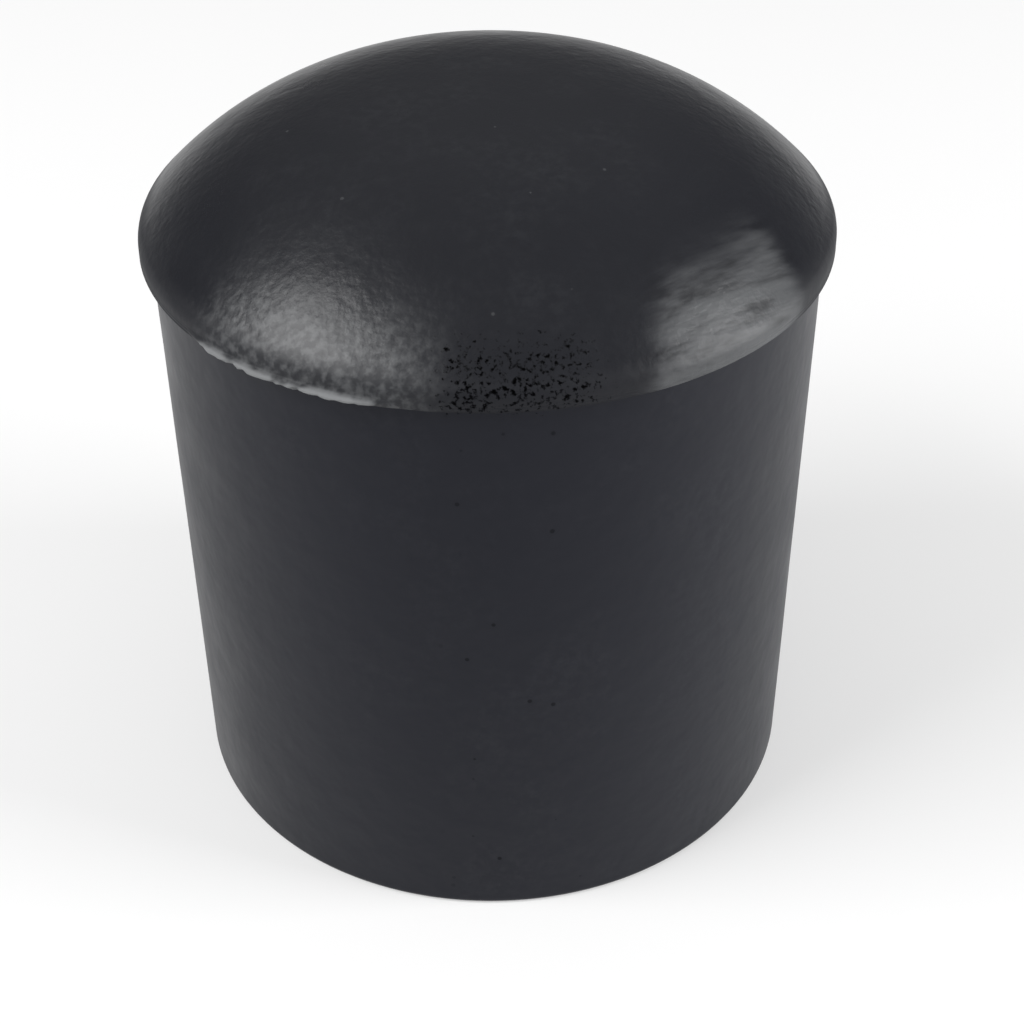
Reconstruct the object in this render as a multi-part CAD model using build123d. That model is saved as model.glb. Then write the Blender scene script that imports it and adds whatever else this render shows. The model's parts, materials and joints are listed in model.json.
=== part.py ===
from build123d import *
import math
import os

# Push-on end cap for a round tube, moulded in one piece from black rubber.
# It stands on its open mouth. +Z runs up the axis through the closed end,
# and the origin is the centre of the mouth's flat rim.

# Driving dimensions in millimetres
TUBE_DIAMETER = 22.0        # outside diameter of the tube that goes into the socket
BORE_CLEARANCE = 0.0        # added to the tube's radius, nought for a push fit
WALL_THICKNESS = 2.5        # body wall just under the head
WALL_DRAFT = 0.14           # how much thinner the outside of the wall is at the mouth
SOCKET_DEPTH = 24.8         # mouth to the floor that the tube's end meets
FLOOR_CHAMFER = 0.5         # chamfer in the bottom corner of the socket
LEAD_IN = 0.7               # chamfer that guides the tube into the mouth
RIM_BREAK = 0.25            # small chamfer on the mouth's outer corner
END_THICKNESS = 6.7         # floor of the socket to the middle of the crown
LEDGE_ABOVE_FLOOR = 0.8     # height of the ledge under the head over the socket's floor
HEAD_OVERHANG = 0.45        # how far the head's side stands outside the body
BEAD_PROUD = 0.12           # how far the mould's parting bead stands outside the head's side
BEAD_HEIGHT = 0.25          # upright side of that bead, which sits on the ledge's corner
EDGE_RISE = 0.4             # ledge to where the head's edge starts to round
EDGE_RADIUS = 0.8           # rounded edge of the head
SHOULDER_RADIUS = 15.8      # curve of the shoulder between the edge and the crown
CROWN_RADIUS = 60.0         # very flat curve across the top

# Radii and heights that follow from them
bore_r = TUBE_DIAMETER / 2 + BORE_CLEARANCE
neck_r = bore_r + WALL_THICKNESS
mouth_r = neck_r - WALL_DRAFT
head_r = neck_r + HEAD_OVERHANG
bead_r = head_r + BEAD_PROUD
ledge_z = SOCKET_DEPTH + LEDGE_ABOVE_FLOOR
bead_z = ledge_z + BEAD_HEIGHT
edge_z = ledge_z + EDGE_RISE
top_z = SOCKET_DEPTH + END_THICKNESS


def blending_centre(first, from_first, second, from_second):
    """Centre of the arc that joins two others, on the side nearer the cap's axis.

    It lies from_first away from the first arc's centre and from_second from the second's.
    """
    across = second[0] - first[0]
    down = second[1] - first[1]
    apart = math.hypot(across, down)
    along = (apart**2 + from_first**2 - from_second**2) / (2 * apart)
    aside = math.sqrt(from_first**2 - along**2)
    return (
        first[0] + (along * across + aside * down) / apart,
        first[1] + (along * down - aside * across) / apart,
    )


def bearing(start, end):
    """Direction from one point to another, in degrees up from the radius."""
    return math.degrees(math.atan2(end[1] - start[1], end[0] - start[0]))


def socket():
    """Line from the axis across the socket's floor and down its wall to the mouth's rim."""
    return Polyline(
        (0, SOCKET_DEPTH),
        (bore_r - FLOOR_CHAMFER, SOCKET_DEPTH),
        (bore_r, SOCKET_DEPTH - FLOOR_CHAMFER),
        (bore_r, LEAD_IN),
        (bore_r + LEAD_IN, 0),
        (mouth_r - RIM_BREAK, 0),
    )


def body_and_bead():
    """Line from the mouth's rim up the outside, out along the ledge and over the bead."""
    return Polyline(
        (mouth_r - RIM_BREAK, 0),
        (mouth_r, RIM_BREAK),
        (neck_r, ledge_z),
        (bead_r, ledge_z),
        (bead_r, bead_z),
        (head_r, bead_z + BEAD_PROUD),
        (head_r, edge_z),
    )


def dome():
    """Three arcs that run smoothly round the head's edge, up its shoulder and over the crown."""
    edge_centre = (head_r - EDGE_RADIUS, edge_z)
    crown_centre = (0, top_z - CROWN_RADIUS)
    shoulder_centre = blending_centre(
        edge_centre, SHOULDER_RADIUS - EDGE_RADIUS, crown_centre, CROWN_RADIUS - SHOULDER_RADIUS
    )
    edge_end = bearing(shoulder_centre, edge_centre)
    shoulder_end = bearing(crown_centre, shoulder_centre)
    return [
        CenterArc(edge_centre, EDGE_RADIUS, 0, edge_end),
        CenterArc(shoulder_centre, SHOULDER_RADIUS, edge_end, shoulder_end - edge_end),
        CenterArc(crown_centre, CROWN_RADIUS, shoulder_end, 90 - shoulder_end),
    ]


# Half section of the cap, turned once round its axis
axis_line = Line((0, top_z), (0, SOCKET_DEPTH))
outline = Curve() + [socket(), body_and_bead(), *dome(), axis_line]
section = make_face(Plane.XZ * outline)
end_cap = revolve(section, Axis.Z)

os.makedirs("parts", exist_ok=True)
export_step(end_cap, "parts/end_cap.step")
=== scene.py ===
import json
import math
from types import SimpleNamespace

import bmesh
import bpy
from mathutils import Matrix, Vector


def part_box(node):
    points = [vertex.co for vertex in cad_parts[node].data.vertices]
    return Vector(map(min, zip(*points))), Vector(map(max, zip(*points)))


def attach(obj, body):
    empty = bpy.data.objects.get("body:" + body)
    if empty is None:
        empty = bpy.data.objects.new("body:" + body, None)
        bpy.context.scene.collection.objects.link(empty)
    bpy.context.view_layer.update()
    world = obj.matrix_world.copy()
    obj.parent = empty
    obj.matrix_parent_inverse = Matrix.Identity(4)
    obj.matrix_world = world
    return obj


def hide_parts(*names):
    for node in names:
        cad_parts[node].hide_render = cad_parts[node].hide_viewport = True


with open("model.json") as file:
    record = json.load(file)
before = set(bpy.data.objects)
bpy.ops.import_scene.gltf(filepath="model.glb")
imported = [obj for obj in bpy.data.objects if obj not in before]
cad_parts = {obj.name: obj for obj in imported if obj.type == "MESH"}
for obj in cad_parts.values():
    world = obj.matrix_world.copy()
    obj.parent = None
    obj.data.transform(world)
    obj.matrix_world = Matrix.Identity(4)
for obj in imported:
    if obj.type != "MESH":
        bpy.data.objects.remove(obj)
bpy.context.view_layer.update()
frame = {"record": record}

bl_info = {
    "name": "Tube End Cap Finish",
    "version": (1, 0, 0),
    "blender": (4, 5, 0),
    "location": "View3D > Sidebar > End Cap",
    "description": "Moulds a rubber tube end cap round its packed model and sets it on a pale floor",
    "category": "Object",
}

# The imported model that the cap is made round
NODE = "end_cap"
BODY = "root"
MM = 0.001
LOW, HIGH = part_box(NODE)
WIDEST_RADIUS = max(HIGH.x, HIGH.y, -LOW.x, -LOW.y)
SOCKET = next(m for m in frame["record"]["mounts"] if m["name"] == "tube_socket")
BORE_RADIUS = SOCKET["dims"]["r_mm"] * MM

# How finely the half section is drawn
SHORT_STEPS = 2             # chamfers, rim, ledge and the head's side
FLOOR_STEPS = 5
BORE_STEPS = 24
RIM_STEPS = 5
WALL_STEPS = 44
FILLET_STEPS = 4
BEAD_STEPS = 9
EDGE_STEPS = 9
SHOULDER_STEPS = 50
CROWN_STEPS = 5
GUARD = 0.04 * MM           # extra point this far inside each end of a flat stretch, to shade it flat
SAME_POINT = 0.0005 * MM    # points of the section that are nearer than this are one
WELD = 0.001 * MM           # the same for points of the turned sheet
ON_AXIS = 0.1 * MM          # points nearer the axis than this aren't pushed

# Where the moulding marks and the painted highlights fade, from the first value to the second. Depths are
# inwards from the widest radius, and heights are over the ledge unless the name says otherwise.
FLASH_DEPTH = (0.65 * MM, 0.55 * MM)
BEAD_DEPTH = (0.13 * MM, 0.0)
BEAD_AWAY = (0.4 * MM, 0.1 * MM)
RIM_HEIGHT = (0.3 * MM, 4 * MM)
HEAD_FOOT = (-0.1 * MM, 0.0)
PIT_FOOT = (-0.5 * MM, 0.4 * MM)
PIT_TOP = (2.6 * MM, 1.5 * MM)
# Top of the scuffed patch, whose pale paint is partly wear and partly a painted highlight
SCUFF_TOP = (4.1 * MM, 1.7 * MM)
LIP_TOP = (1.4 * MM, 0.6 * MM)
# Top of the highlight painted on the left shoulder
PAINTED_HIGHLIGHT_TOP = (3.2 * MM, 1.5 * MM)
ZONE_SIDES = (1.0, 0.5)     # in reaches to each side of a zone's bearing

# Levels of a pattern or a zone between which each mark comes in
FLASH_LUMPS = (0.36, 0.6)
PIT_CORES = (-0.05, 0.15)
PIT_PATCH = (0.03, 0.2)
SPECK_EDGE = (1.0, 0.55)
SCRATCH_LINES = (0.5, 0.34)
BLOOM_CLOUDS = (0.4, 0.7)
BLOOM_FRECKLES = (0.35, 0.75)
# Levels at which the flash turns pale: torn rubber and a painted highlight along the ridge
TORN_AND_HIGHLIT_FLASH = (0.1, 0.65)
# Pebble levels for the pale blotches of the painted highlight
PAINTED_HIGHLIGHT_PEBBLES = (0.36, 0.72)
# Levels of the rubbed patch's pale paint, partly wear and partly a painted highlight
RUBBED_AND_HIGHLIT_LINES = (0.1, 1.35)
RUBBED_AND_HIGHLIT_PATCH = (0.0, 0.9)
SKY_RISE = (0.3, 0.95)

# Plain values
RUBBER_IOR = 1.5
SPECK_SPREAD = 0.35         # added to a chance from nought to one, for the size of a speck
FLOOR_HALF = 2.0
SENSOR_WIDTH = 36.0
NEAR_CLIP, FAR_CLIP = 1 * MM, 10.0
WHITE = (1.0, 1.0, 1.0, 1.0)
BLACK = (0.0, 0.0, 0.0, 1.0)
SOCKET_KINDS = {
    int: "NodeSocketInt",
    float: "NodeSocketFloat",
    bpy.types.Object: "NodeSocketObject",
    bpy.types.Material: "NodeSocketMaterial",
}


def length(label, text, default):
    """A size in metres, with its label and what it measures."""
    return bpy.props.FloatProperty(
        name=label, description=text, default=default, precision=5, subtype="DISTANCE", unit="LENGTH"
    )


def share(label, text, default):
    """A strength from nought to one."""
    return bpy.props.FloatProperty(
        name=label, description=text, default=default, min=0.0, max=1.0, subtype="FACTOR"
    )


def level(label, text, default):
    """A plain number of nought or more."""
    return bpy.props.FloatProperty(name=label, description=text, default=default, min=0.0)


def turn(label, text, degrees):
    """An angle that is written in degrees and kept in radians."""
    return bpy.props.FloatProperty(
        name=label, description=text, default=math.radians(degrees), subtype="ANGLE", unit="ROTATION"
    )


def colour(label, text, default):
    """A linear colour."""
    return bpy.props.FloatVectorProperty(
        name=label, description=text, default=default, size=3, min=0.0, max=1.0, subtype="COLOR"
    )


class CapSizes(bpy.types.PropertyGroup):
    """Sizes of the cap's half section, in metres."""

    bore_radius: length("Bore radius", "Radius of the socket that grips the tube", BORE_RADIUS)
    height: length("Height", "Mouth to the middle of the crown", HIGH.z)
    bead_radius: length("Bead radius", "Widest radius, on the parting bead", WIDEST_RADIUS)
    wall: length("Wall", "Body wall under the head", 2.5 * MM)
    draft: length("Draft", "How much thinner the wall is at the mouth", 0.14 * MM)
    socket_depth: length("Socket depth", "Mouth to the socket's floor", 24.8 * MM)
    floor_chamfer: length("Floor chamfer", "Chamfer in the socket's bottom corner", 0.5 * MM)
    lead_in: length("Lead-in", "Chamfer that guides the tube in", 0.7 * MM)
    rim_round: length("Rim rounding", "Rounding of the mouth's outer corner", 0.25 * MM)
    ledge_height: length("Ledge height", "Mouth to the ledge under the head", 25.6 * MM)
    neck_fillet: length("Neck fillet", "Rounding in the corner under the head", 0.15 * MM)
    head_overhang: length("Head overhang", "Head's side outside the body", 0.45 * MM)
    bead_round: length("Bead rounding", "Radius of the rounded parting bead", 0.14 * MM)
    edge_rise: length("Edge rise", "Ledge to the start of the head's rounded edge", 0.4 * MM)
    edge_radius: length("Edge radius", "Rounded edge of the head", 0.8 * MM)
    shoulder_radius: length("Shoulder radius", "Curve between the edge and the crown", 15.8 * MM)
    crown_radius: length("Crown radius", "Flat curve across the top", 60 * MM)
    segments: bpy.props.IntProperty(
        name="Segments", description="Steps round the cap", default=512, min=24, max=1024
    )


class CapMoulding(bpy.types.PropertyGroup):
    """Marks that the mould and later wear have left on the rubber, and where highlights are painted on its
    shoulder.
    """

    flash_bearing: turn("Flash bearing", "Where the flash on the parting bead is thickest", -122)
    flash_reach: turn("Flash reach", "How far it runs to each side", 21)
    flash_height: length("Flash height", "How far the thickest flash stands proud", 0.24 * MM)
    flash_width: length("Flash width", "Half the height of the band of flash", 0.25 * MM)
    flash_ripple: length("Flash ripple", "Length of the lumps along the flash", 0.8 * MM)
    flash_sag: length("Flash sag", "How far the faint flash at the front droops", 0.6 * MM)
    flash_trace: share("Flash trace", "How much flash there is at the front", 0.22)
    bead_worn: length("Bead worn", "How much of the bead is gone away from the flash", 0.12 * MM)
    wobble: length("Wobble", "How far the soft wall strays from round", 0.03 * MM)
    wobble_length: length("Wobble length", "Length of that stray", 6 * MM)
    pit_bearing: turn("Pit bearing", "Where the patch of fine pits lies", -85)
    pit_reach: turn("Pit reach", "How far the pits run to each side", 16)
    # Where a highlight is painted on the left shoulder, in pale pebbled blotches
    painted_highlight_bearing: turn("Dry bearing", "Where the shoulder is dry and pebbled", -118)
    painted_highlight_reach: turn("Dry reach", "How far that runs to each side", 25)
    # The scuffed patch on the right shoulder is partly wear and partly a painted highlight
    scuff_bearing: turn("Scuff bearing", "Where the shoulder is scuffed, at the ledge", -49.5)
    scuff_lean: turn("Scuff lean", "How far the scuffs shift round with each millimetre up", 2)
    scuff_reach: turn("Scuff reach", "How far the scuffs run to each side", 22)
    scuffed_lip: share("Scuffed lip", "How much of the rough lip is left where it is scuffed", 0.4)
    seed: bpy.props.IntProperty(name="Seed", description="Fixed seed of the mould marks", default=7)


class CapFinish(bpy.types.PropertyGroup):
    """Colour and surface of the black rubber, with highlights and shade painted into its colour."""

    rubber: colour("Rubber", "Colour of clean black rubber", (0.0076, 0.0082, 0.0116))
    bloom: colour("Bloom", "Colour of the faint grey bloom", (0.036, 0.038, 0.043))
    # Pale colour of torn flash and dust, also used for the highlights painted on the shoulder and flash
    torn_and_highlit: colour("Torn", "Colour of torn, dry and scuffed rubber, and of dust", (0.19, 0.195, 0.20))
    # Near black painted shade inside the pits and the scratch lines
    pit: colour("Pit", "Colour inside a pit", (0.0005, 0.0005, 0.0006))
    body_tint: colour("Body tint", "Tint of straight reflections in the body", (0.66, 0.68, 0.8))
    satin: share("Satin", "Roughness of the body", 0.42)
    polish: share("Polish", "Roughness of the head", 0.31)
    patchy: share("Patchy", "How much the roughness varies from place to place", 0.2)
    lip_rough: share("Lip roughness", "Roughness added on the lip of the head", 0.3)
    pit_rough: share("Pit roughness", "Roughness added in the pits", 0.5)
    gloss: share("Gloss", "Specular level of the rubber", 0.26)
    bloom_share: share("Bloom share", "How strongly the bloom shows", 0.2)
    cloud_size: length("Cloud size", "Size of the patches of bloom", 4 * MM)
    freckle_size: length("Freckle size", "Size of the freckles in those patches", 0.4 * MM)
    # How pale the painted highlight on the left shoulder is, between and on the pebbles
    painted_highlight_least: share("Least dryness", "How pale the dry shoulder is between pebbles", 0.07)
    painted_highlight_most: share("Most dryness", "How pale it is on the pebbles", 0.36)
    pit_size: length("Pit size", "Size of the ragged pits", 0.18 * MM)
    pit_level: share("Pit level", "Level of the pits' pattern at which one opens", 0.69)
    pit_crowding: share("Pit crowding", "How far that level falls in the patch of pits", 0.17)
    speck_spacing: length("Speck spacing", "Distance between lone pits down the front", 1.1 * MM)
    speck_radius: length("Speck radius", "Radius of a lone pit", 0.1 * MM)
    specks_kept: share("Specks kept", "Share of the lone pits that are there", 0.6)
    # Strength of the painted shade in the lone pits
    speck_share: share("Speck share", "How dark the lone pits are", 0.5)
    speck_reach: share("Speck reach", "How strong they are on the body, less on the head", 0.85)
    dust_spacing: length("Dust spacing", "Distance between specks of dust on the head", 1.3 * MM)
    dust_radius: length("Dust radius", "Radius of a speck of dust", 0.08 * MM)
    dust_kept: share("Dust kept", "Share of the specks of dust that are there", 0.4)
    dust_share: share("Dust share", "How pale the dust is", 0.15)
    streak_size: length("Streak size", "Width of the streaks on the scuffed shoulder", 0.7 * MM)
    streak_stretch: level("Streak stretch", "How many times longer than wide they are", 6.0)
    streak_fall: turn("Streak fall", "How steeply they run downhill", 8)
    streak_heading: turn("Streak heading", "Which way they run", 42)
    # Strength of the painted shade in the scratch lines
    scratch_shade_share: share("Scratch share", "How dark the scratches between them are", 0.35)
    scratch_depth: length("Scratch depth", "Depth of the scratches on the shoulder", 0.036 * MM)
    # Pale paint of the rubbed patch: partly wear, partly a painted highlight
    rubbed_and_highlit_share: share("Rubbed share", "How pale the rubbed rubber is", 0.42)
    rubbed_and_highlit_ragged: level("Rubbed raggedness", "How far the streaks reach out of that patch", 1.6)
    grain: length("Grain", "Size of the head's pebbled grain", 0.31 * MM)
    grain_depth: length("Grain depth", "Depth of that grain", 0.017 * MM)
    orange_peel: length("Orange peel", "Size of the soft unevenness all over", 1.3 * MM)
    peel_depth: length("Orange peel depth", "Depth of that unevenness", 0.034 * MM)


class CapStage(bpy.types.PropertyGroup):
    """Floor, lamps and camera."""

    floor: colour("Floor", "Colour of the pale floor", (0.8, 0.8, 0.8))
    floor_seen: colour("Floor as seen", "Its colour to the camera and in reflections", (0.84, 0.84, 0.84))
    floor_white: share("Floor white", "Share of plain white in the floor as seen", 0.38)
    sky_low: level("Low sky", "Soft light from near the horizon", 0.2)
    sky_high: level("High sky", "Soft light from overhead", 0.66)
    lamp_distance: length("Lamp distance", "Cap to each lamp", 300 * MM)
    left_glow: level("Left glow", "Brightness of the left lamp's face", 9.5)
    left_bearing: turn("Left bearing", "Where the left lamp stands", -158.5)
    left_rise: turn("Left rise", "How high it hangs", 43.5)
    left_wide: turn("Left wide", "Half the angle that it takes up across", 17)
    left_tall: turn("Left tall", "Half the angle that it takes up in height", 13)
    right_glow: level("Right glow", "Brightness of the right lamp's face", 9.8)
    right_bearing: turn("Right bearing", "Where the right lamp stands", -10)
    right_rise: turn("Right rise", "How high it hangs", 14)
    right_wide: turn("Right wide", "Half the angle that it takes up across", 12.5)
    right_tall: turn("Right tall", "Half the angle that it takes up in height", 23)
    view_drop: turn("View drop", "How steeply the camera looks down", 36.73)
    view_roll: turn("View roll", "How far the camera leans", 0.33)
    view_distance: length("View distance", "Camera to the point it aims at", 87.715 * MM)
    aim_height: length("Aim height", "Height of that point on the cap", 10.929 * MM)
    aim_side: length("Aim side", "That point's distance from the cap's axis", 0.909 * MM)
    focal_length: bpy.props.FloatProperty(
        name="Focal length",
        description="Lens in millimetres on a 36 mm sensor",
        default=68.61,
        subtype="DISTANCE_CAMERA",
    )


class Graph:
    """Adds nodes to one tree and joins them."""

    def __init__(self, tree):
        self.tree = tree

    def add(self, kind, inputs=None, **settings):
        """A new node with its settings, each input fed by a number, a colour or another node."""
        node = self.tree.nodes.new(kind)
        for name, value in settings.items():
            setattr(node, name, value)
        for key, value in (inputs or {}).items():
            self.feed(node.inputs[key], value)
        return node

    def feed(self, socket, value):
        """Joins another node's output to this input, or gives the input a fixed value."""
        if isinstance(value, bpy.types.NodeSocket):
            self.tree.links.new(value, socket)
        else:
            socket.default_value = value

    def math(self, operation, *values, clamp=False):
        """Result of one operation on numbers."""
        node = self.add("ShaderNodeMath", dict(enumerate(values)), operation=operation, use_clamp=clamp)
        return node.outputs[0]

    def plus(self, first, second, clamp=False):
        """Sum of two numbers, kept from nought to one if clamp is set."""
        return self.math("ADD", first, second, clamp=clamp)

    def minus(self, first, second):
        """The first number less the second."""
        return self.math("SUBTRACT", first, second)

    def times(self, first, *others):
        """Product of two or more numbers."""
        for other in others:
            first = self.math("MULTIPLY", first, other)
        return first

    def over(self, first, second):
        """The first number divided by the second."""
        return self.math("DIVIDE", first, second)

    def fade(self, value, start, end):
        """Nought at start and before, one at end and beyond, smooth between."""
        node = self.add("ShaderNodeMapRange", {0: value, 1: start, 2: end}, interpolation_type="SMOOTHSTEP")
        return node.outputs[0]

    def mix(self, share_of, first, second):
        """The first colour or number, turning into the second."""
        numbers = isinstance(first, (int, float)) or getattr(first, "type", "") == "VALUE"
        if numbers:
            node = self.add("ShaderNodeMix", {0: share_of, 2: first, 3: second}, data_type="FLOAT")
            return node.outputs[0]
        node = self.add("ShaderNodeMix", {0: share_of, 6: first, 7: second}, data_type="RGBA")
        return node.outputs[2]

    def noise(self, where, size, detail=2.0, roughness=0.5):
        """Cloudy pattern from nought to one, with lumps of this size."""
        scale = self.over(1.0, size) if isinstance(size, bpy.types.NodeSocket) else 1 / size
        node = self.add(
            "ShaderNodeTexNoise",
            {"Vector": where, "Scale": scale, "Detail": detail, "Roughness": roughness},
        )
        return node.outputs[0]

    def parts(self, vector):
        """The three numbers of a vector."""
        return self.add("ShaderNodeSeparateXYZ", {0: vector}).outputs

    def vector(self, x, y, z):
        """A vector from three numbers."""
        return self.add("ShaderNodeCombineXYZ", {"X": x, "Y": y, "Z": z}).outputs[0]


def opaque(rgb):
    """A colour with nothing shining through it."""
    return (*rgb, 1.0)


def placed(name, data):
    """A new object in the scene."""
    thing = bpy.data.objects.new(name, data)
    bpy.context.scene.collection.objects.link(thing)
    return thing


def new_material(name):
    """A material with no nodes yet, and the graph that fills it."""
    material = bpy.data.materials.new(name)
    material.use_nodes = True
    material.node_tree.nodes.clear()
    return material, Graph(material.node_tree)


def own_properties(group):
    """The properties that a property group declares itself."""
    return [p for p in group.bl_rna.properties if p.identifier not in ("rna_type", "name")]


def labelled_values(group):
    """What a property group holds, by the labels of its properties."""
    return {p.name: getattr(group, p.identifier) for p in own_properties(group)}


def arc(centre, radius, start, end, steps):
    """Points along an arc of the half section, its angles in radians up from the radius."""
    angles = [start + (end - start) * i / steps for i in range(steps + 1)]
    return [centre + radius * Vector((math.cos(a), math.sin(a))) for a in angles]


def run(start, end, steps, guard=0.0):
    """Points along a straight stretch, with one more a guard's length inside each end."""
    along = (end - start).normalized() * guard
    inner_start, inner_end = start + along, end - along
    points = [inner_start.lerp(inner_end, i / steps) for i in range(steps + 1)]
    return [start, *points, end] if guard else points


def dome_arcs(sizes, head_radius):
    """Centre, radius, start and end of the edge, the shoulder and the crown, each tangent to the next."""
    edge = Vector((head_radius - sizes.edge_radius, sizes.ledge_height + sizes.edge_rise))
    crown = Vector((0, sizes.height - sizes.crown_radius))
    from_edge = sizes.shoulder_radius - sizes.edge_radius
    from_crown = sizes.crown_radius - sizes.shoulder_radius
    line = crown - edge
    apart = line.length
    along = (apart**2 + from_edge**2 - from_crown**2) / (2 * apart)
    aside = math.sqrt(from_edge**2 - along**2)
    shoulder = edge + (along * line + aside * Vector((line.y, -line.x))) / apart
    edge_end = math.atan2(edge.y - shoulder.y, edge.x - shoulder.x)
    shoulder_end = math.atan2(shoulder.y - crown.y, shoulder.x - crown.x)
    return [
        (edge, sizes.edge_radius, 0, edge_end),
        (shoulder, sizes.shoulder_radius, edge_end, shoulder_end),
        (crown, sizes.crown_radius, shoulder_end, math.pi / 2),
    ]


def half_section(sizes):
    """Points of the half section as radius and height, from the socket's floor round to the crown."""
    bore = sizes.bore_radius
    neck = bore + sizes.wall
    mouth = neck - sizes.draft
    head = neck + sizes.head_overhang
    ledge = sizes.ledge_height
    floor = sizes.socket_depth
    rim = sizes.rim_round
    fillet = sizes.neck_fillet
    quarter = math.pi / 2

    points = run(Vector((0, floor)), Vector((bore - sizes.floor_chamfer, floor)), FLOOR_STEPS, GUARD)
    points += run(points[-1], Vector((bore, floor - sizes.floor_chamfer)), SHORT_STEPS, GUARD)
    points += run(points[-1], Vector((bore, sizes.lead_in)), BORE_STEPS, GUARD)
    points += run(points[-1], Vector((bore + sizes.lead_in, 0)), SHORT_STEPS, GUARD)
    points += run(points[-1], Vector((mouth - rim, 0)), SHORT_STEPS, GUARD)
    points += arc(Vector((mouth - rim, rim)), rim, -quarter, 0, RIM_STEPS)
    points += run(points[-1], Vector((neck, ledge - fillet)), WALL_STEPS, GUARD)
    points += arc(Vector((neck + fillet, ledge - fillet)), fillet, 2 * quarter, quarter, FILLET_STEPS)
    bead = Vector((sizes.bead_radius - sizes.bead_round, ledge + sizes.bead_round))
    bead_top = math.acos((head - bead.x) / sizes.bead_round)
    points += run(points[-1], bead - Vector((0, sizes.bead_round)), SHORT_STEPS, GUARD)
    points += arc(bead, sizes.bead_round, -quarter, bead_top, BEAD_STEPS)
    edge, shoulder, crown = dome_arcs(sizes, head)
    points += run(points[-1], Vector((head, edge[0].y)), SHORT_STEPS)
    points += arc(*edge, EDGE_STEPS)
    points += arc(*shoulder, SHOULDER_STEPS)
    points += arc(*crown, CROWN_STEPS)

    kept = points[:1]
    for point in points[1:]:
        if (point - kept[-1]).length > SAME_POINT:
            kept.append(point)
    kept[0].x = kept[-1].x = 0
    return kept


def section_object(sizes):
    """The half section as a string of points, for the turning tree to read."""
    mesh = bpy.data.meshes.new("half_section")
    mesh.from_pydata([(p.x, 0, p.y) for p in half_section(sizes)], [], [])
    section = placed("half_section", mesh)
    section.hide_render = True
    return section


def new_tree(name, values):
    """A Geometry Nodes tree with an input for each named value and one mesh out.

    Gives the tree, its graph, its input and output nodes, and the identifier of each input.
    """
    tree = bpy.data.node_groups.new(name, "GeometryNodeTree")
    tree.interface.new_socket("Geometry", in_out="OUTPUT", socket_type="NodeSocketGeometry")
    identifiers = {}
    for label, value in values.items():
        kind = SOCKET_KINDS[type(value)]
        identifiers[label] = tree.interface.new_socket(label, in_out="INPUT", socket_type=kind).identifier
    graph = Graph(tree)
    given = graph.add("NodeGroupInput").outputs
    result = graph.add("NodeGroupOutput").inputs
    return tree, graph, given, result, identifiers


def turned_sheet(graph, given):
    """A grid whose rows are the section's points, rolled round the axis, with its seam and poles closed."""
    section = graph.add("GeometryNodeObjectInfo", {"Object": given["Section"]}).outputs["Geometry"]
    count = graph.add("GeometryNodeAttributeDomainSize", {"Geometry": section}).outputs["Point Count"]
    columns = graph.plus(given["Segments"], 1)
    grid = graph.add(
        "GeometryNodeMeshGrid", {"Size X": 1.0, "Size Y": 1.0, "Vertices X": columns, "Vertices Y": count}
    )
    place = graph.add("GeometryNodeInputPosition").outputs[0]
    flat = graph.parts(place)
    angle = graph.times(graph.plus(flat["X"], 0.5), math.tau)
    last = graph.minus(count, 1)
    row = graph.math("ROUND", graph.times(graph.plus(flat["Y"], 0.5), last))
    sampled = graph.add(
        "GeometryNodeSampleIndex",
        {"Geometry": section, "Value": place, "Index": row},
        data_type="FLOAT_VECTOR",
    )
    point = graph.parts(sampled.outputs[0])
    x = graph.times(point["X"], graph.math("COSINE", angle))
    y = graph.times(point["X"], graph.math("SINE", angle))
    rolled = graph.vector(x, y, point["Z"])
    sheet = graph.add("GeometryNodeSetPosition", {"Geometry": grid.outputs["Mesh"], "Position": rolled})
    closed = graph.add("GeometryNodeMergeByDistance", {"Geometry": sheet.outputs[0], "Distance": WELD})
    return closed.outputs[0]


def spot_on_cap(graph, given):
    """Where a point of the sheet lies: its radius, bearing, heights, way out and place in the noise."""
    place = graph.add("GeometryNodeInputPosition").outputs[0]
    x, y, z = graph.parts(place)
    radius = graph.math("SQRT", graph.plus(graph.times(x, x), graph.times(y, y)))
    seeded = graph.add("ShaderNodeVectorMath", {0: place, 1: given["Seed"]}, operation="ADD")
    return SimpleNamespace(
        radius=radius,
        depth=graph.minus(given["Bead radius"], radius),
        bearing=graph.math("ARCTAN2", y, x),
        height=z,
        over_ledge=graph.minus(z, given["Ledge height"]),
        outward=graph.vector(graph.over(x, radius), graph.over(y, radius), 0.0),
        seeded=seeded.outputs[0],
    )


def nearness(graph, bearing_here, bearing, reach):
    """One where the bearing round the axis is the given one, fading to nought at its reach."""
    away = graph.minus(bearing_here, bearing)
    wrapped = graph.math("ABSOLUTE", graph.math("WRAP", away, math.pi, -math.pi))
    return graph.fade(graph.over(wrapped, reach), *ZONE_SIDES)


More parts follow.
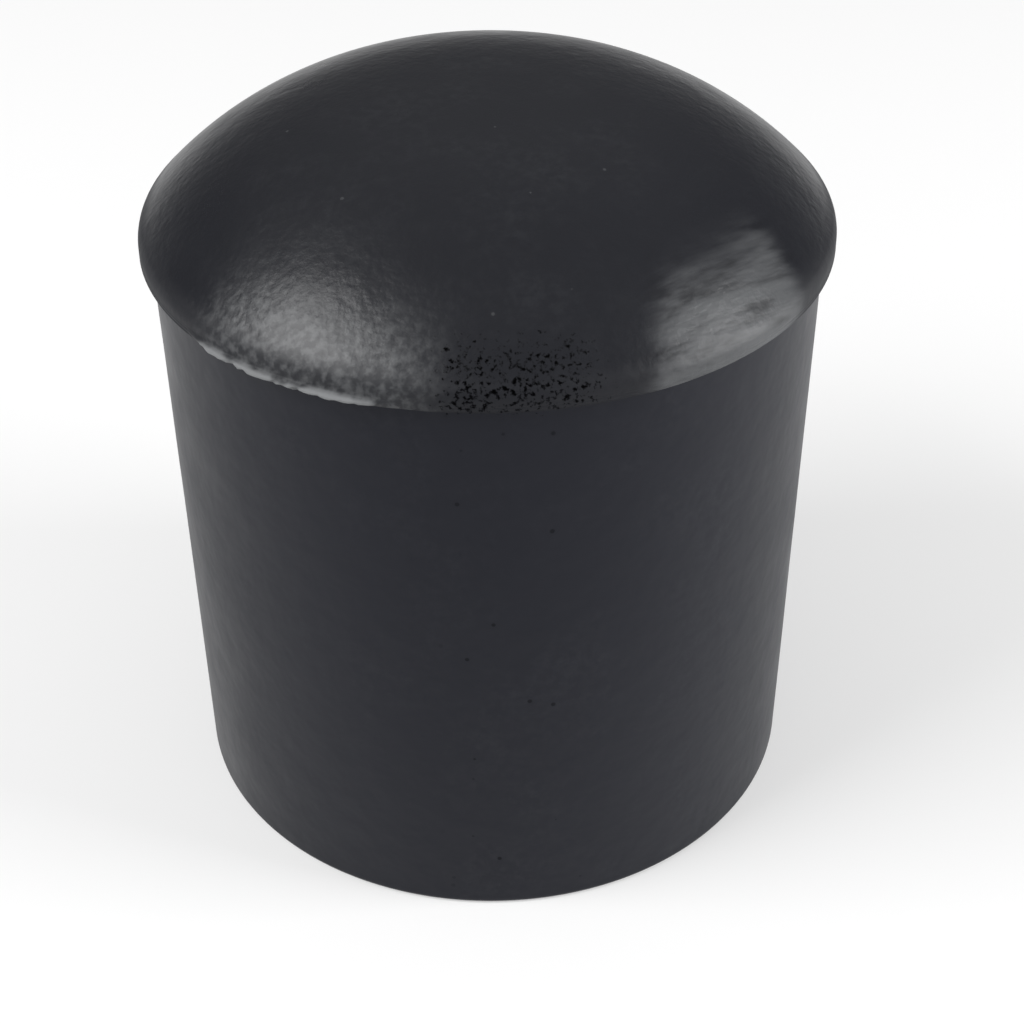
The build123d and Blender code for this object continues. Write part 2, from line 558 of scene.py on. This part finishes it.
def flash_and_wear(graph, given, spot, front):
    """How much flash stands on the parting bead, and how far the bead is worn away from it.

    The flash is thick at one bearing, and a faint trace of it droops at the front.
    """
    thick = nearness(graph, spot.bearing, given["Flash bearing"], given["Flash reach"])
    bead_height = graph.plus(given["Ledge height"], given["Bead rounding"])
    over_bead = graph.minus(spot.height, bead_height)
    droop = graph.times(front, given["Flash sag"])
    off_flash = graph.math("ABSOLUTE", graph.plus(over_bead, droop))
    band = graph.fade(graph.over(off_flash, given["Flash width"]), 1.0, 0.0)
    lumps = graph.fade(graph.noise(spot.seeded, given["Flash ripple"], detail=3.0), *FLASH_LUMPS)
    amount = graph.times(graph.plus(thick, graph.times(front, given["Flash trace"])), lumps)
    flash = graph.times(band, graph.fade(spot.depth, *FLASH_DEPTH), amount)

    on_bead = graph.fade(graph.math("ABSOLUTE", over_bead), *BEAD_AWAY)
    outermost = graph.fade(spot.depth, *BEAD_DEPTH)
    worn = graph.times(on_bead, outermost, graph.minus(1.0, thick), given["Bead worn"])
    return flash, worn


def wall_stray(graph, given, spot):
    """How far the soft wall strays from round, apart from the rim that it stands on."""
    pattern = graph.noise(spot.seeded, given["Wobble length"], detail=1.0)
    stray = graph.times(graph.minus(pattern, 0.5), given["Wobble"])
    return graph.times(stray, graph.fade(spot.height, *RIM_HEIGHT))


def finish_zones(graph, given, spot, front):
    """Numbers from nought to one that tell the rubber's finish where it is, and where highlights are
    painted.
    """
    over_ledge = spot.over_ledge
    head = graph.fade(over_ledge, *HEAD_FOOT)
    pit_rows = graph.times(graph.fade(over_ledge, *PIT_FOOT), graph.fade(over_ledge, *PIT_TOP))
    lean = graph.times(graph.over(over_ledge, MM), given["Scuff lean"])
    leaned = graph.minus(spot.bearing, lean)
    # The scuffed patch is partly wear and partly where a highlight is painted
    scuff_rows = graph.times(head, graph.fade(over_ledge, *SCUFF_TOP))
    scuff_near = nearness(graph, leaned, given["Scuff bearing"], given["Scuff reach"])
    scuffed = graph.times(scuff_rows, scuff_near)
    lip_left = graph.mix(scuffed, 1.0, given["Scuffed lip"])
    # Where the highlight is painted on the left shoulder
    painted_highlight_rows = graph.times(head, graph.fade(over_ledge, *PAINTED_HIGHLIGHT_TOP))
    painted_highlight_near = nearness(graph, spot.bearing, given["Dry bearing"], given["Dry reach"])
    return {
        "head": head,
        "pitted": graph.times(pit_rows, front),
        "front": front,
        "lip": graph.times(head, graph.fade(over_ledge, *LIP_TOP), lip_left),
        "dry": graph.times(painted_highlight_rows, painted_highlight_near),
        "scuffed": scuffed,
    }


def store(graph, geometry, name, value):
    """The geometry with this number kept on each point."""
    node = graph.add(
        "GeometryNodeStoreNamedAttribute",
        {"Geometry": geometry, "Name": name, "Value": value},
        data_type="FLOAT",
        domain="POINT",
    )
    return node.outputs[0]


def turning_tree(values):
    """Geometry Nodes that turn the half section into the cap, with its flash, wobble and marked zones."""
    tree, graph, given, result, identifiers = new_tree("Turn the cap", values)
    sheet = turned_sheet(graph, given)
    spot = spot_on_cap(graph, given)
    front = nearness(graph, spot.bearing, given["Pit bearing"], given["Pit reach"])
    flash, worn = flash_and_wear(graph, given, spot, front)
    risen = graph.plus(graph.times(flash, given["Flash height"]), wall_stray(graph, given, spot))
    push = graph.minus(risen, worn)
    shift = graph.add("ShaderNodeVectorMath", {0: spot.outward, "Scale": push}, operation="SCALE")

    zones = {"flash": flash, **finish_zones(graph, given, spot, front)}
    for name, value in zones.items():
        sheet = store(graph, sheet, name, value)
    off_axis = graph.math("GREATER_THAN", spot.radius, ON_AXIS)
    moved = graph.add(
        "GeometryNodeSetPosition", {"Geometry": sheet, "Selection": off_axis, "Offset": shift.outputs[0]}
    )
    smooth = graph.add("GeometryNodeSetShadeSmooth", {"Geometry": moved.outputs[0]})
    whole = graph.add("GeometryNodeRealizeInstances", {"Geometry": smooth.outputs[0]})
    dressed = graph.add(
        "GeometryNodeSetMaterial", {"Geometry": whole.outputs[0], "Material": given["Material"]}
    )
    graph.feed(result["Geometry"], dressed.outputs[0])
    return tree, identifiers


def zone(graph, name):
    """The number that the turning tree kept on the mesh under this name."""
    return graph.add("ShaderNodeAttribute", attribute_name=name, attribute_type="GEOMETRY").outputs["Fac"]


def specks(graph, where, spacing, radius, share_kept):
    """One inside small round specks, of which only a share is kept, and nought elsewhere."""
    cells = graph.add("ShaderNodeTexVoronoi", {"Vector": where, "Scale": 1 / spacing, "Randomness": 1.0})
    lot = graph.add("ShaderNodeSeparateColor", {0: cells.outputs["Color"]}).outputs
    kept = graph.math("LESS_THAN", lot[0], share_kept)
    size = graph.times(graph.plus(lot[1], SPECK_SPREAD), radius / spacing)
    inside = graph.fade(graph.over(cells.outputs["Distance"], size), *SPECK_EDGE)
    return graph.times(inside, kept)


def rubber_patterns(graph, finish):
    """The zones and noises that colour, roughness and relief share."""
    where = graph.add("ShaderNodeTexCoord").outputs["Object"]
    along_streaks = graph.add(
        "ShaderNodeMapping",
        {
            "Vector": where,
            "Rotation": (0.0, finish.streak_fall, finish.streak_heading),
            "Scale": (finish.streak_stretch, 1.0, 1.0),
        },
        vector_type="TEXTURE",
    ).outputs[0]
    return SimpleNamespace(
        where=where,
        head=zone(graph, "head"),
        scuffed=zone(graph, "scuffed"),
        streaks=graph.noise(along_streaks, finish.streak_size, detail=3.0, roughness=0.6),
        clouds=graph.noise(where, finish.cloud_size, detail=4.0, roughness=0.6),
        pebbles=graph.noise(where, finish.grain),
    )


def painted_pit_shade(graph, finish, found):
    """Painted shade in pits: ragged dark specks crowd one patch, and a few lie alone down the front."""
    pitted = zone(graph, "pitted")
    ragged = graph.noise(found.where, finish.pit_size, detail=2.0, roughness=0.6)
    opens_at = graph.minus(finish.pit_level, graph.times(pitted, finish.pit_crowding))
    patch = graph.fade(graph.minus(ragged, opens_at), *PIT_CORES)
    patch = graph.times(patch, graph.fade(pitted, *PIT_PATCH))
    alone = specks(graph, found.where, finish.speck_spacing, finish.speck_radius, finish.specks_kept)
    down_front = graph.times(zone(graph, "front"), graph.minus(finish.speck_reach, found.head))
    alone = graph.times(alone, down_front, finish.speck_share)
    return graph.math("MAXIMUM", patch, alone, clamp=True)


def rubber_colour(graph, finish, found, pits):
    """Clean rubber with a cloudy bloom and dust, torn flash and a rubbed patch that are partly painted
    highlights, a painted highlight on the left shoulder, and painted shade in the scratches and pits.
    """
    torn_and_highlit = opaque(finish.torn_and_highlit)
    freckles = graph.noise(found.where, finish.freckle_size, detail=3.0, roughness=0.65)
    bloom = graph.times(graph.fade(found.clouds, *BLOOM_CLOUDS), graph.fade(freckles, *BLOOM_FRECKLES))
    tone = graph.mix(graph.times(bloom, finish.bloom_share), opaque(finish.rubber), opaque(finish.bloom))
    # The flash is painted pale: torn rubber and a painted highlight along the ridge
    tone = graph.mix(graph.fade(zone(graph, "flash"), *TORN_AND_HIGHLIT_FLASH), tone, torn_and_highlit)

    # Painted highlight on the left shoulder, in pale blotches
    highlight_blotches = graph.mix(graph.fade(found.pebbles, *PAINTED_HIGHLIGHT_PEBBLES), finish.painted_highlight_least, finish.painted_highlight_most)
    tone = graph.mix(graph.times(highlight_blotches, zone(graph, "dry")), tone, torn_and_highlit)

    # Rubbed patch on the right shoulder, painted pale: partly wear, partly a painted highlight
    ragged = graph.times(graph.minus(found.streaks, 0.5), finish.rubbed_and_highlit_ragged)
    rubbed_and_highlit_edge = graph.fade(graph.plus(found.scuffed, ragged), *RUBBED_AND_HIGHLIT_LINES)
    rubbed_and_highlit = graph.times(rubbed_and_highlit_edge, graph.fade(found.scuffed, *RUBBED_AND_HIGHLIT_PATCH))
    tone = graph.mix(graph.times(rubbed_and_highlit, finish.rubbed_and_highlit_share), tone, torn_and_highlit)

    # Painted shade in the scratch lines and the pits
    scratches = graph.times(graph.fade(found.streaks, *SCRATCH_LINES), found.scuffed)
    dark = graph.math("MAXIMUM", pits, graph.times(scratches, finish.scratch_shade_share))
    tone = graph.mix(dark, tone, opaque(finish.pit))

    dust = specks(graph, found.where, finish.dust_spacing, finish.dust_radius, finish.dust_kept)
    return graph.mix(graph.times(dust, found.head, finish.dust_share), tone, torn_and_highlit)


def rubber_roughness(graph, finish, found, pits):
    """The head is smoother than the body, apart from its lip and the pits."""
    rough = graph.mix(found.head, finish.satin, finish.polish)
    rough = graph.plus(rough, graph.times(graph.minus(found.clouds, 0.5), finish.patchy))
    rough = graph.plus(rough, graph.times(zone(graph, "lip"), finish.lip_rough))
    return graph.plus(rough, graph.times(pits, finish.pit_rough), clamp=True)


def rubber_relief(graph, finish, found):
    """Heights in metres: soft unevenness all over, pebbled grain on the head, and scuffs."""
    relief = graph.times(graph.noise(found.where, finish.orange_peel), finish.peel_depth)
    relief = graph.plus(relief, graph.times(found.pebbles, found.head, finish.grain_depth))
    return graph.plus(relief, graph.times(found.streaks, found.scuffed, finish.scratch_depth))


def black_rubber(finish):
    """Satin black rubber with a moulded grain, grey bloom, fine pits and scuffs, painted highlights on the
    shoulder and painted shade in the pits and scratches.
    """
    material, graph = new_material("black_rubber")
    found = rubber_patterns(graph, finish)
    pits = painted_pit_shade(graph, finish, found)
    relief = rubber_relief(graph, finish, found)
    sheen = graph.mix(found.head, opaque(finish.body_tint), WHITE)
    shader = graph.add(
        "ShaderNodeBsdfPrincipled",
        {
            "Base Color": rubber_colour(graph, finish, found, pits),
            "Roughness": rubber_roughness(graph, finish, found, pits),
            "Normal": graph.add("ShaderNodeBump", {"Height": relief, "Distance": 1.0}).outputs[0],
            "IOR": RUBBER_IOR,
            "Specular IOR Level": finish.gloss,
            # Reflections are taken out in the pits, as painted shade
            "Specular Tint": graph.mix(pits, sheen, BLACK),
        },
    )
    output = graph.add("ShaderNodeOutputMaterial")
    graph.feed(output.inputs["Surface"], shader.outputs[0])
    return material


def plain_mesh(host, name):
    """The host's evaluated shape as a plain mesh object of its own, with the host removed."""
    evaluated = host.evaluated_get(bpy.context.evaluated_depsgraph_get())
    mesh = bpy.data.meshes.new_from_object(evaluated)
    mesh.name = name
    bpy.data.objects.remove(host)
    return placed(name, mesh)


def face_outwards(mesh):
    """Turns the faces of a closed mesh outwards, and raises an error if it isn't closed."""
    shape = bmesh.new()
    shape.from_mesh(mesh)
    if any(not edge.is_manifold for edge in shape.edges):
        raise RuntimeError("the moulded cap isn't closed")
    if shape.calc_volume(signed=True) < 0:
        bmesh.ops.reverse_faces(shape, faces=shape.faces)
    shape.to_mesh(mesh)
    shape.free()


class CAP_OT_mould(bpy.types.Operator):
    """Turn the cap from its half section and give it its rubber finish"""

    bl_idname = "tube_cap.mould"
    bl_label = "Mould the cap"

    def execute(self, context):
        sizes = context.scene.cap_sizes
        section = section_object(sizes)
        values = {
            "Section": section,
            "Segments": sizes.segments,
            "Ledge height": sizes.ledge_height,
            "Bead radius": sizes.bead_radius,
            "Bead rounding": sizes.bead_round,
            **labelled_values(context.scene.cap_moulding),
            "Material": black_rubber(context.scene.cap_finish),
        }
        tree, identifiers = turning_tree(values)
        host = placed("turning", bpy.data.meshes.new("turning"))
        modifier = host.modifiers.new("Turn the cap", "NODES")
        modifier.node_group = tree
        for label, value in values.items():
            modifier[identifiers[label]] = value
        piece = plain_mesh(host, "moulded_cap")
        face_outwards(piece.data)
        bpy.data.objects.remove(section)
        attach(piece, BODY)
        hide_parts(NODE)
        return {"FINISHED"}


def seen_rays(graph):
    """One for what the camera sees straight, mirrored or through glass, and nought for other light."""
    path = graph.add("ShaderNodeLightPath").outputs
    seen = graph.math("MAXIMUM", path["Is Camera Ray"], path["Is Glossy Ray"])
    return graph.math("MAXIMUM", seen, path["Is Transmission Ray"])


def pale_floor(stage):
    """A wide plain floor under the cap."""
    mesh = bpy.data.meshes.new("floor")
    corners = [(-1, -1), (1, -1), (1, 1), (-1, 1)]
    mesh.from_pydata([(x * FLOOR_HALF, y * FLOOR_HALF, 0) for x, y in corners], [], [(0, 1, 2, 3)])
    floor = placed("floor", mesh)
    material, graph = new_material("pale_floor")
    seen = seen_rays(graph)
    paint = graph.mix(seen, opaque(stage.floor), opaque(stage.floor_seen))
    painted = graph.add("ShaderNodeBsdfDiffuse", {"Color": paint})
    white = graph.add("ShaderNodeEmission", {"Color": WHITE, "Strength": 1.0})
    white_share = graph.times(seen, stage.floor_white)
    either = graph.add("ShaderNodeMixShader", {0: white_share, 1: painted.outputs[0], 2: white.outputs[0]})
    output = graph.add("ShaderNodeOutputMaterial")
    graph.feed(output.inputs["Surface"], either.outputs[0])
    mesh.materials.append(material)


def soft_sky(context, stage):
    """Soft light from all round, brighter overhead than near the horizon."""
    world = bpy.data.worlds.new("soft_sky")
    world.use_nodes = True
    world.node_tree.nodes.clear()
    graph = Graph(world.node_tree)
    direction = graph.add("ShaderNodeTexCoord").outputs["Generated"]
    rise = graph.parts(direction)["Z"]
    strength = graph.mix(graph.fade(rise, *SKY_RISE), stage.sky_low, stage.sky_high)
    light = graph.add("ShaderNodeBackground", {"Color": WHITE, "Strength": strength})
    output = graph.add("ShaderNodeOutputWorld")
    graph.feed(output.inputs["Surface"], light.outputs[0])
    context.scene.world = world


def soft_lamp(context, stage, side):
    """The soft rectangular lamp on one side, left or right, facing the cap's head."""
    glow, bearing, rise, wide, tall = (
        getattr(stage, f"{side}_{value}") for value in ("glow", "bearing", "rise", "wide", "tall")
    )
    light = bpy.data.lights.new(f"{side}_lamp", "AREA")
    light.shape = "RECTANGLE"
    light.size = 2 * stage.lamp_distance * math.tan(wide)
    light.size_y = 2 * stage.lamp_distance * math.tan(tall)
    light.energy = glow * math.pi * light.size * light.size_y
    lamp = placed(f"{side}_lamp", light)
    flat = math.cos(rise)
    away = Vector((flat * math.cos(bearing), flat * math.sin(bearing), math.sin(rise)))
    head_centre = Vector((0, 0, context.scene.cap_sizes.ledge_height))
    lamp.location = head_centre + away * stage.lamp_distance
    lamp.rotation_euler = away.to_track_quat("Z", "Y").to_euler()


def photo_camera(context, stage):
    """The camera at the photograph's angle and distance, aimed beside the cap's axis."""
    drop, roll = stage.view_drop, stage.view_roll
    forward = Vector((0, math.cos(drop), -math.sin(drop)))
    across = Vector((1, 0, 0))
    up = Vector((0, math.sin(drop), math.cos(drop)))
    right = math.cos(roll) * across - math.sin(roll) * up
    top = math.sin(roll) * across + math.cos(roll) * up
    aim = Vector((stage.aim_side, 0, stage.aim_height))
    data = bpy.data.cameras.new("photo_camera")
    data.sensor_width = SENSOR_WIDTH
    data.lens = stage.focal_length
    data.clip_start = NEAR_CLIP
    data.clip_end = FAR_CLIP
    camera = placed("photo_camera", data)
    turned = Matrix((right, top, -forward)).transposed().to_4x4()
    camera.matrix_world = Matrix.Translation(aim - forward * stage.view_distance) @ turned
    context.scene.camera = camera


class CAP_OT_stage(bpy.types.Operator):
    """Lay the floor, hang the lamps and set the camera"""

    bl_idname = "tube_cap.stage"
    bl_label = "Set the stage"

    def execute(self, context):
        stage = context.scene.cap_stage
        pale_floor(stage)
        soft_sky(context, stage)
        soft_lamp(context, stage, "left")
        soft_lamp(context, stage, "right")
        photo_camera(context, stage)
        context.scene.view_settings.view_transform = "Standard"
        return {"FINISHED"}


class CAP_PT_panel(bpy.types.Panel):
    """Sizes, moulding marks, finish and stage of the end cap"""

    bl_idname = "CAP_PT_panel"
    bl_label = "End Cap"
    bl_space_type = "VIEW_3D"
    bl_region_type = "UI"
    bl_category = "End Cap"

    def draw(self, context):
        scene = context.scene
        for group in (scene.cap_sizes, scene.cap_moulding, scene.cap_finish, scene.cap_stage):
            box = self.layout.box()
            for own in own_properties(group):
                box.prop(group, own.identifier)
        self.layout.operator(CAP_OT_mould.bl_idname)
        self.layout.operator(CAP_OT_stage.bl_idname)


CLASSES = (CapSizes, CapMoulding, CapFinish, CapStage, CAP_OT_mould, CAP_OT_stage, CAP_PT_panel)


def register():
    for kind in CLASSES:
        bpy.utils.register_class(kind)
    bpy.types.Scene.cap_sizes = bpy.props.PointerProperty(type=CapSizes)
    bpy.types.Scene.cap_moulding = bpy.props.PointerProperty(type=CapMoulding)
    bpy.types.Scene.cap_finish = bpy.props.PointerProperty(type=CapFinish)
    bpy.types.Scene.cap_stage = bpy.props.PointerProperty(type=CapStage)


def unregister():
    del bpy.types.Scene.cap_stage
    del bpy.types.Scene.cap_finish
    del bpy.types.Scene.cap_moulding
    del bpy.types.Scene.cap_sizes
    for kind in reversed(CLASSES):
        bpy.utils.unregister_class(kind)


def main():
    register()
    bpy.ops.tube_cap.mould()
    bpy.ops.tube_cap.stage()


if __name__ == "__main__":
    main()
